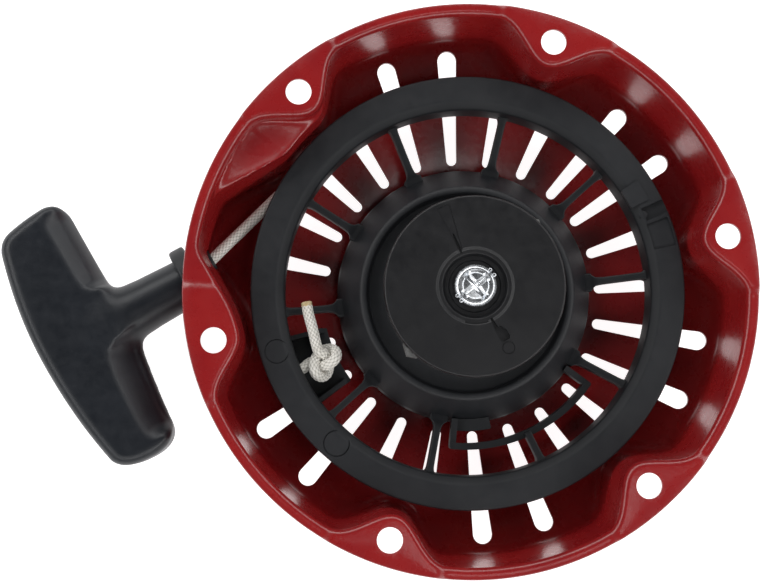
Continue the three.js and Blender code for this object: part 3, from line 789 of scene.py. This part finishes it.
def reel_additions():
    """The curved rib and its end walls, the knot's pocket, the ratchets' pins and a raised pad."""
    inner = HUB_R - 1.5
    shapes = [arc_block(*RIB_R, *RIB_ARC, 11, 18, corner=1.2)]
    for a, inwards in zip(RIB_ARC, (1.1, -1.1)):
        shapes.append(radial_block(inner, RIB_R[1] - 0.8, 2.3, 11, 17.4, a + inwards))
    shapes.append(arc_block(inner, 52.4, 266.5, 281, 11, 15.5, corner=1.4))
    a0, a1 = POCKET_ARC
    shapes.append(arc_block(54.8, RING_IN_R + 1, a0 - 1.5, a1 + 1, 14.5, 16.8, corner=2))
    for a in (a0 - 0.6, a1):
        shapes.append(radial_block(56.5, RING_IN_R + 1.5, 1.8, 15, 22, a))
    for a in RATCHET_PIVOT_ANGLES:
        shapes.append(disc_block(2.75, REEL_FACE - 1, 53.2, *polar(RATCHET_PIVOT_R, a)[:2]))
    pad = (RING_TOP - 2, RING_TOP + 0.35)
    shapes.append(arc_block(RING_IN_R + 0.4, RING_R - 5, 27.2, 33.5, *pad, corner=0.8, steps=6))
    return shapes


def reel_recesses():
    """The notch and the dip in the ring's face, two gate marks and the rope's way to the knot."""
    above = RING_TOP + 2
    shapes = [radial_block(GROOVE_R + 0.6, RING_R + 2, 5.2, GROOVE_Z[1] + 0.8, above, NOTCH_ANGLE)]
    dip = (RING_TOP - 0.9, above)
    shapes.append(arc_block(RING_IN_R + 3.2, RING_R - 1.2, 12.8, 20.8, *dip, corner=0.6, steps=6))
    for r, width, a in ((4.75, 0.45, 228.9), (4.4, 0.3, 197.5)):
        shapes.append(ring_groove(r, width, *polar(75.5, a)[:2]))
    way, faces = extrude(circle_outline(2.5, 32), 0, 12)
    out = polar(1, KNOT_ANGLE)
    basis = np.array([[-out[1], out[0], 0], [0, 0, 1.0], out])
    shapes.append((way @ basis + polar(RING_IN_R - 4, KNOT_ANGLE, KNOT_Z), faces))
    return shapes


def ring_groove(r, width, x, y):
    """The round witness mark of a mould gate on the ring's face."""
    low, high = RING_TOP - 0.7, RING_TOP + 1
    r0, r1 = r - width / 2, r + width / 2
    verts, faces = lathe([(r0, low), (r1, low), (r1, high), (r0, high)], 64)
    return verts + np.array([x, y, 0]), faces


# ---- guide disc and screw ---------------------------------------------------------------------------
def make_guide_disc():
    low = DISC_TOP - 5.3
    recess = DISC_TOP - 2.6
    disc = lathe(rounded_profile([
        (6.5, low, 0.2), (DISC_R, low, 0.6), (DISC_R, DISC_TOP - 0.15, 1.0), (14.2, DISC_TOP, 0.7),
        (13.2, DISC_TOP - 0.9, 0.4), (11.9, DISC_TOP - 0.9, 0.5), (10.9, recess, 0.5), (9.6, recess, 0.4),
        (9.2, recess - 0.7, 0.2), (6.5, recess - 0.7, 0.1),
    ]), 256)
    obj = make_object("guide_disc", *disc, DISC_BLACK)
    for a in (60, 240):
        cut(obj, [arc_block(12.2, 15.2, a, a + 50, DISC_TOP - 12.1, low + 1)], operation="UNION")
    grooves = [
        sunk_wedge(112, [(13.6, 1.4), (20, 2.6), (31, 5.0)], 0.35),
        sunk_wedge(113, [(12.6, 0.9), (16, 1.0), (20.5, 0.5)], 1.1),
        sunk_wedge(-64, [(12.8, 0.9), (16, 1.2), (18.5, 1.7)], 1.3),
        sunk_wedge(-60.5, [(17.0, 1.6), (19.2, 3.8), (21.6, 4.0), (22.6, 2.6)], 1.3),
        arc_block(12.8, 13.9, -106, -70, DISC_TOP - 0.9, DISC_TOP + 1, steps=10),
    ]
    for g in grooves:
        cut(obj, [g])
    low, high = DISC_TOP - 0.35, DISC_TOP + 1
    mark, mark_faces = lathe([(2.0, low), (2.35, low), (2.35, high), (2.0, high)], 48)
    cut(obj, [(mark + polar(25.3, -62), mark_faces)])
    place(obj, "guide_body", "disc_plastic", "ratchet_guide")


def sunk_wedge(deg, stations, depth):
    """A shallow groove along a radius. Each station is (radius, width)."""
    left = [(r, w / 2, 0.5) for r, w in stations]
    right = [(r, -w / 2, 0.5) for r, w in stations]
    rounded = rounded_profile(right + left[::-1], 3)
    verts, faces = extrude(rounded, DISC_TOP - depth, DISC_TOP + 1)
    return turn(verts, deg), faces


SCREW_FACE = HEAD_TOP - 0.5     # the face inside the head's raised edge
SCREW_SLOT_ANGLE = 38


def make_screw():
    """A bright pan head with a cross recess and a worn straight slot right across it."""
    under = HEAD_TOP - 3.5
    thread = [(3.0 - 0.25 * (i % 2), under - 0.5 - 0.5 * i) for i in range(38)]
    tip = thread[-1][1] - 1
    head = rounded_profile([
        (3, under, 0), (HEAD_R - 0.2, under, 0.3), (HEAD_R, under + 1.2, 0.8),
        (HEAD_R - 0.15, HEAD_TOP - 1.2, 0.9), (HEAD_R - 1.5, HEAD_TOP - 0.1, 1.2),
        (HEAD_R - 3.2, SCREW_FACE, 0.8),
    ])
    profile = [(0, tip), (2, tip)] + thread[::-1] + head + [(0, SCREW_FACE)]
    obj = make_object("screw", *lathe(profile, 96), ZINC)
    cut(obj, [sunk_bar(2 * HEAD_R + 2, 1.5, 0.9, SCREW_SLOT_ANGLE)])
    for a in (0, 90):
        cut(obj, [v_groove(11.5, 3.2, 1.3, SCREW_SLOT_ANGLE + a)])
    for side in (0, 180):
        for shift in (-1.15, 1.15):
            at = turn([(HEAD_R - 0.25, shift, 0)], SCREW_SLOT_ANGLE + side)[0]
            nub, faces = disc_block(0.75, HEAD_TOP - 1.5, HEAD_TOP - 0.15, at[0], at[1], 0.5, 20)
            cut(obj, [(nub, faces)], operation="UNION")
    place(obj, "base", "zinc_steel", "set_screw")


def sunk_bar(length, width, depth, deg):
    """A flat-bottomed slot across the screw's face that narrows downwards."""
    half = length / 2
    corners = [(-half, -width / 2), (half, -width / 2), (half, width / 2), (-half, width / 2)]
    verts, faces = extrude(corners, SCREW_FACE - depth, HEAD_TOP + 1)
    taper = np.where(verts[:, 2] < SCREW_FACE, 0.72, 1.0)
    verts[:, 0] *= taper
    verts[:, 1] *= taper
    return turn(verts, deg), faces


def v_groove(length, width, depth, deg):
    """A groove of triangular section in the screw's face, whose ends slope too."""
    above = HEAD_TOP + 1
    section = [(0, SCREW_FACE - depth, 1.2), (width / 2, SCREW_FACE, 0), (width / 2, above, 0),
               (-width / 2, above, 0), (-width / 2, SCREW_FACE, 0)]
    verts = [(side * (length / 2 - short), y, z) for side in (-1, 1) for y, z, short in section]
    faces = [(4, 3, 2, 1, 0), (5, 6, 7, 8, 9)]
    faces += [(5 + i, i, (i + 1) % 5, 5 + (i + 1) % 5) for i in range(5)]
    return turn(verts, deg), faces


# ---- rope ---------------------------------------------------------------------------------------------
ROPE_R = 2.1
ROPE_WRAP_R = 76.5
ROPE_TOP_Z = 28.8
STRANDS = 8


def smooth_path(points, step):
    """Evenly spaced points along a Catmull-Rom curve through the given ones."""
    p = np.array(points, float)
    p = np.vstack([2 * p[0] - p[1], p, 2 * p[-1] - p[-2]])
    out = []
    for a, b, c, d in zip(p, p[1:], p[2:], p[3:]):
        for t in np.linspace(0, 1, 24, endpoint=False):
            out.append(0.5 * (2 * b + (c - a) * t + (2 * a - 5 * b + 4 * c - d) * t * t
                              + (3 * b - a - 3 * c + d) * t**3))
    out.append(p[-2])
    out = np.array(out)
    lengths = np.r_[0, np.cumsum(np.linalg.norm(np.diff(out, axis=0), axis=1))]
    count = max(int(lengths[-1] / step), 2)
    at = np.linspace(0, lengths[-1], count + 1)
    return np.c_[[np.interp(at, lengths, out[:, k]) for k in range(3)]].T


def frames_along(path):
    """Directions, and two normals that are carried along without twisting."""
    along = np.gradient(path, axis=0)
    along /= np.linalg.norm(along, axis=1)[:, None]
    side = np.cross(along[0], (0, 0, 1.0))
    if np.linalg.norm(side) < 0.1:
        side = np.cross(along[0], (0, 1.0, 0))
    sides = []
    for d in along:
        side = side - d * (side @ d)
        side /= np.linalg.norm(side)
        sides.append(side)
    sides = np.array(sides)
    return along, sides, np.cross(along, sides)


def braid_height(theta, s, radius):
    """Height of the woven strands, 0 to 1, at an angle round the rope and a length along it."""
    pitch = TAU * radius / STRANDS * 1.15
    u = (theta * STRANDS / TAU) + s / pitch
    v = (theta * STRANDS / TAU) - s / pitch
    cu, cv = np.floor(u), np.floor(v)
    fu, fv = u - cu - 0.5, v - cv - 0.5
    over = (cu + cv) % 2 < 1
    across = np.where(over, fv, fu)
    lengthwise = np.where(over, fu, fv)
    return np.sqrt(np.clip(1 - (across * 1.85) ** 2, 0, 1)) * (0.72 + 0.28 * np.cos(lengthwise * math.pi))


def braided_rope(path, radius=ROPE_R, sides=56, fuzz=0.5, end_round=0.5):
    """A woven tube along a path with softly closed ends."""
    along, a, b = frames_along(path)
    lengths = np.r_[0, np.cumsum(np.linalg.norm(np.diff(path, axis=0), axis=1))]
    theta = np.arange(sides) * TAU / sides
    total = lengths[-1]
    rings = []
    for p, u, v, s in zip(path, a, b, lengths):
        end = min(s, total - s)
        shrink = math.sqrt(max(1 - max(1 - end / end_round, 0) ** 2 * 0.6, 0.2)) if end_round else 1
        r = (radius - fuzz + fuzz * braid_height(theta, s, radius)) * shrink
        rings.append(p + np.outer(r * np.cos(theta), u) + np.outer(r * np.sin(theta), v))
    heights = [braid_height(theta, s, radius) for s in lengths]
    return *ring_stack(np.array(rings), path[0], path[-1]), np.r_[np.ravel(heights), 1, 1]


def rope_mesh(name, verts, faces, weave):
    """A rope object whose strands' height is kept so that its material can paint shade into the gaps between
    strands.
    """
    obj = make_object(name, verts, faces, ROPE, 80)
    obj.data.attributes.new("weave", "FLOAT", "POINT").data.foreach_set("value", weave.astype(np.float32))
    return obj


def pull_point(s, side=0.0):
    return on_pull_axis(np.array([[side, 0, s]]))[0]


def rope_object(name, path, body, *nodes, **options):
    obj = rope_mesh(name, *braided_rope(path, **options))
    return place(obj, body, "rope_braid", *nodes)


def make_rope_run():
    """The straight rope from the guide to the reel. Returns the angle where it meets the reel."""
    leave = pull_point(GUIDE_END_S - 0.4, THROAT_SIDE)
    spread = math.degrees(math.acos(ROPE_WRAP_R / math.hypot(leave[0], leave[1])))
    angle = math.degrees(math.atan2(leave[1], leave[0])) - spread
    touch = polar(ROPE_WRAP_R, angle, ROPE_TOP_Z)
    mid = leave * 0.5 + touch * 0.5 + np.array([0, 0, -0.3])
    inside = pull_point(GUIDE_END_S - 4, THROAT_SIDE - 1.7)
    rope_object("rope_run_braid", smooth_path([inside, leave, mid, touch], 0.22), "base", "rope_run")
    return angle


def make_rope_coil(touch_angle):
    """Two rows in the bottom of the groove and the start of a third over them."""
    turns = touch_angle + 720 + (360 - KNOT_ANGLE)
    points = []
    for t in np.linspace(0, turns, int(turns / 9)):
        deg = KNOT_ANGLE + t
        row = t / 360
        z = 23.6 + 4.2 * smoothstep(0.9, 1.1, row) - 2.0 * smoothstep(1.92, 2.1, row)
        r = GROOVE_R + ROPE_R + 0.1 + 3.4 * smoothstep(1.9, 2.05, row)
        points.append(polar(r, deg, z))
    path = smooth_path(points, 0.7)
    rope_object("rope_coil_braid", path, "reel_body", "rope_coil", sides=26)


def trefoil(scale, height, mouth, deg):
    """An overhand knot's middle: a trefoil, opened at one lobe by a mouth in radians."""
    t = np.linspace(math.pi + mouth, 3 * math.pi - mouth, 22)
    x = np.sin(t) + 2 * np.sin(2 * t)
    y = np.cos(t) - 2 * np.cos(2 * t)
    return turn(np.c_[x * scale, y * scale, np.sin(3 * t) * height], deg)


def knot_path():
    """The reel's knot, with its standing end led to the groove and its free tail."""
    core = trefoil(2.1, 2.49375, 0.62, 240)
    centre = polar(KNOT_R, KNOT_ANGLE, KNOT_Z)
    standing = [polar(GROOVE_R + 0.5, KNOT_ANGLE, KNOT_Z), polar(68.6, KNOT_ANGLE, KNOT_Z - 0.2)]
    tail = [centre + np.array(p) for p in ((-3.4, 12, 3.6), (-4.8, 17, 4.3), (-5.7, 21.9, 4.6))]
    return [*standing, *(core + centre), *tail]


def make_knot():
    """The knot on the reel with its free tail, whose end is melted."""
    path = smooth_path(knot_path(), 0.2)
    obj = rope_object("rope_knot_braid", path, "reel_body", "rope_knot", "rope_tail", "rope_inner")
    obj.data.materials.append(TIP)
    end = Vector(path[-1] * MM)
    for polygon in obj.data.polygons:
        if (polygon.center - end).length < 2.6 * MM:
            polygon.material_index = 1


def make_rope_lead():
    """The rope inside the grip and guide, one fixed piece on neither body. On the real starter it pays out
    between them when the grip is pulled.
    """
    start, end = pull_point(-6.0), pull_point(50.8)
    path = smooth_path([start, start * 0.5 + end * 0.5, end], 0.24)
    obj = rope_mesh("rope_lead_braid", *braided_rope(path, sides=40))
    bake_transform(obj)
    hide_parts("rope_lead")


def make_grip_knot():
    """The stopper knot in the grip's pocket."""
    path = smooth_path(trefoil(1.12, 1.344, 0.7, 90), 0.25)
    verts, faces, weave = braided_rope(path, radius=1.8, sides=40)
    verts = on_pull_axis(verts - np.array([0, 0, 11.8]))
    place(rope_mesh("grip_knot_braid", verts, faces, weave), "handle_body", "rope_braid", "handle_rope_knot")


# ---- rope guide and grip ----------------------------------------------------------------------------
POCKET_R = 6.6              # the hollow behind the grip that holds the stopper knot
NECK_END_S = COLLAR_S[0] + 2.2
COLLAR_SOCKET = 2.7         # how deep the neck's seat is in the collar's face
NECK_S = np.array([-2, 8, 17, 24, NECK_END_S])
NECK_R = np.array([8.5, 10.9, 10.4, 9.8, 9.2])

# the ridge where the grip's broad face ends, as places towards the reel along the bar
RIDGE_Y = np.array([-60, -43.5, -38, -28, -20, -13, -9.5, -7.2, -5, 11, 13.5, 16, 20, 47, 60])
RIDGE_S = np.array([1, -0.4, -1.0, -0.9, -0.5, 0.6, 2.6, 6.5, 16, 16, 8.5, 5.6, 4.6, 3.8, 3.8])
RIDGE_SOFTNESS = 0.7        # how round the ridge is
RIDGE_SLOPE = 0.68

# corners of the grip seen along Z as (towards the reel, along the bar), in threes: the two ends
# of a stretch and, between them, the point that it bends towards
GRIP_BENDS = (
    ((6, 49.6), (13.2, 49.4), (13.6, 41)), ((13.6, 41), (13.8, 25), (14, 13)),
    ((14, 13), (14, 0), (14, -13)), ((14, -13), (11.8, -26), (10.6, -42)),
    ((10.6, -42), (9.6, -51), (0, -51.6)), ((0, -51.6), (-13, -52), (-15.8, -45.5)),
    ((-15.8, -45.5), (-20.9, -24), (-20.9, 0)), ((-20.9, 0), (-20.9, 20), (-15.2, 41.5)),
    ((-15.2, 41.5), (-13.4, 46.6), (-8, 47.6)), ((-8, 47.6), (-1, 49.2), (6, 49.6)),
)


def make_rope_guide():
    """The collar and sleeve outside the wall, joined to the throat that goes through it."""
    c0, c1 = COLLAR_S
    seat = c0 + COLLAR_SOCKET
    collar = lathe(rounded_profile([
        (3.6, seat, 0.6), (9.9, seat, 0.3), (9.9, c0, 0.5), (13, c0, 1.4), (13, c1, 1.2), (7, c1, 0.6),
        (7, SLEEVE_END_S, 0.4), (2.9, SLEEVE_END_S, 0), (2.9, c0 + 4.2, 0.5),
    ]), 128)
    throat = lathe(rounded_profile([
        (2.9, SLEEVE_END_S - 1, 0), (THROAT_R, SLEEVE_END_S - 1, 0), (THROAT_R, GUIDE_END_S, 0.5),
        (3.0, GUIDE_END_S, 0.5),
    ]), 64)
    obj = make_object("rope_eyelet", on_pull_axis(collar[0]), collar[1], REEL_BLACK)
    cut(obj, [(on_pull_axis(throat[0] + np.array([THROAT_SIDE, 0, 0])), throat[1])], operation="UNION")
    place(obj, "base", "black_plastic", "rope_guide")


def make_retainer():
    """The washer that the stopper knot bears on."""
    low, high = -5.9, -4.4
    section = rounded_profile([(2.5, low, 0.2), (6.3, low, 0.4), (6.3, high, 0.4), (2.5, high, 0.2)], 4)
    washer, faces = lathe(section, 96)
    obj = make_object("retainer_washer", on_pull_axis(washer), faces, ZINC)
    place(obj, "handle_body", "zinc_steel", "handle_retainer")


def quadratic(a, b, c, steps=14):
    """Points from a to c on a curve that bends towards b, without c itself."""
    t = np.linspace(0, 1, steps, endpoint=False)[:, None]
    a, b, c = (np.array(p, float) for p in (a, b, c))
    return (1 - t) ** 2 * a + 2 * t * (1 - t) * b + t * t * c


def grip_outline():
    return np.vstack([quadratic(*bend) for bend in GRIP_BENDS])


def outline_distance(outline, x, y):
    """Signed distance to a closed outline, negative inside."""
    best = np.full(x.shape, 1e9)
    inside = np.zeros(x.shape, bool)
    for (ax, ay), (bx, by) in zip(outline, np.roll(outline, -1, 0)):
        ex, ey = bx - ax, by - ay
        t = np.clip(((x - ax) * ex + (y - ay) * ey) / (ex * ex + ey * ey), 0, 1)
        best = np.minimum(best, np.hypot(x - ax - t * ex, y - ay - t * ey))
        if ey:
            inside ^= ((ay > y) != (by > y)) & (x < ax + (y - ay) * ex / ey)
    return np.where(inside, -best, best)


def rounded_corner(across, up):
    """Distance to the corner between two faces, from the distances to them."""
    return np.minimum(np.maximum(across, up), 0) + np.hypot(np.maximum(across, 0), np.maximum(up, 0))


def grip_distance(s, y, z, plan):
    """Distance to the grip: a bar with a raised broad face, run smoothly into a round neck."""
    ridge = np.interp(y, RIDGE_Y, RIDGE_S)
    past = RIDGE_SOFTNESS * np.logaddexp(0, (s - ridge) / RIDGE_SOFTNESS)
    lowered = RIDGE_SLOPE * np.minimum(past, 10) * (1 - smoothstep(41.5, 48.5, np.abs(y)))
    crown = 0.8 * (1 - (np.clip(s + 4, -17, 17) / 17) ** 2)
    half = 10.2 + crown - lowered
    edge = 4.5
    bar = rounded_corner(plan + edge, np.abs(z) - half + edge) - edge
    neck_r = np.interp(s, NECK_S, NECK_R)
    middle = (NECK_END_S - 2) / 2
    edge = 0.8
    neck = rounded_corner(np.hypot(y, z) - neck_r + edge, np.abs(s - middle) - middle - 2 + edge) - edge
    return soft_min(bar, neck, 5.0)


def surface_net(values, low, step):
    """Closed quad surface around the negative part of a grid, as vertices and faces."""
    negative = values < 0
    nx, ny, nz = values.shape
    total = np.zeros((nx - 1, ny - 1, nz - 1, 3))
    count = np.zeros((nx - 1, ny - 1, nz - 1))
    grid = np.stack(np.meshgrid(np.arange(nx), np.arange(ny), np.arange(nz), indexing="ij"), -1).astype(float)
    quads = []
    for axis in range(3):
        lo = [slice(None)] * 3
        hi = [slice(None)] * 3
        lo[axis], hi[axis] = slice(0, -1), slice(1, None)
        a, b = values[tuple(lo)], values[tuple(hi)]
        crossing = negative[tuple(lo)] != negative[tuple(hi)]
        t = np.where(crossing, a / np.where(crossing, a - b, 1), 0)
        point = grid[tuple(lo)].copy()
        point[..., axis] += t
        u, v = [k for k in range(3) if k != axis]
        for i, j, k in np.argwhere(crossing):
            index = [i, j, k]
            cells = []
            for du, dv in ((-1, -1), (0, -1), (0, 0), (-1, 0)):
                cell = index.copy()
                cell[u] += du
                cell[v] += dv
                cells.append(tuple(cell))
                total[cells[-1]] += point[i, j, k]
                count[cells[-1]] += 1
            forward = negative[i, j, k] == (axis != 1)
            quads.append(cells if forward else cells[::-1])
    used = np.argwhere(count > 0)
    number = {tuple(c): n for n, c in enumerate(used)}
    verts = np.array([total[tuple(c)] / count[tuple(c)] for c in used]) * step + low
    return verts, [tuple(number[c] for c in quad) for quad in quads]


def make_grip():
    """A surface net round the grip, whose points are then moved onto the exact surface."""
    step = 0.9
    low = np.array([-23.5, -55.0, -15.3])
    high = np.array([44.5, 55.0, 15.3])
    axes = [a + step * np.arange(math.ceil((b - a) / step)) for a, b in zip(low, high)]
    outline = grip_outline()
    plan = outline_distance(outline, *np.meshgrid(axes[0], axes[1], indexing="ij"))
    s, y, z = np.meshgrid(*axes, indexing="ij")
    verts, faces = surface_net(grip_distance(s, y, z, plan[:, :, None]), low, step)

    def distance(p):
        return grip_distance(p[:, 0], p[:, 1], p[:, 2], outline_distance(outline, p[:, 0], p[:, 1]))

    for _ in range(3):
        value = distance(verts)
        slope = np.stack([(distance(verts + d) - distance(verts - d)) / 0.4 for d in 0.2 * np.eye(3)], 1)
        slope /= np.maximum(np.linalg.norm(slope, axis=1), 0.3)[:, None]
        verts = verts - slope * np.clip(value, -0.5, 0.5)[:, None]
    local = np.c_[verts[:, 1], verts[:, 2], verts[:, 0]]
    obj = make_object("grip_moulding", on_pull_axis(local), faces, GRIP_BLACK, 60)
    for r, count, end in ((2.6, 48, 60), (POCKET_R, 64, -4)):
        hole, hole_faces = extrude(circle_outline(r, count), -30, end)
        cut(obj, [(on_pull_axis(hole), hole_faces)], 50)
    place(obj, "handle_body", "grip_plastic", "handle_grip")


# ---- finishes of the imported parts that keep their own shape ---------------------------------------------
def finish_kept_nodes():
    finishes = {
        "center_post": ZINC, "recoil_spring": STEEL, "ratchet_1": GREY_STEEL, "ratchet_2": GREY_STEEL,
        "ratchet_spring_1": STEEL, "ratchet_spring_2": STEEL, "friction_spring": STEEL,
    }
    for node, finish in finishes.items():
        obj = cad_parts[node]
        obj.data.materials.clear()
        obj.data.materials.append(finish)
        bevel = obj.modifiers.new("edge", "BEVEL")
        bevel.width = 0.2 * MM
        bevel.segments = 2
        bevel.limit_method = "ANGLE"
        bevel.angle_limit = math.radians(35)


# ---- the scene ------------------------------------------------------------------------------------------
make_camera()
make_stage()
make_housing()
make_rope_coil(make_rope_run())
make_knot()
make_rope_lead()
make_grip_knot()
make_rope_guide()
make_retainer()
make_screw()
make_guide_disc()
make_reel()
make_grip()
finish_kept_nodes()
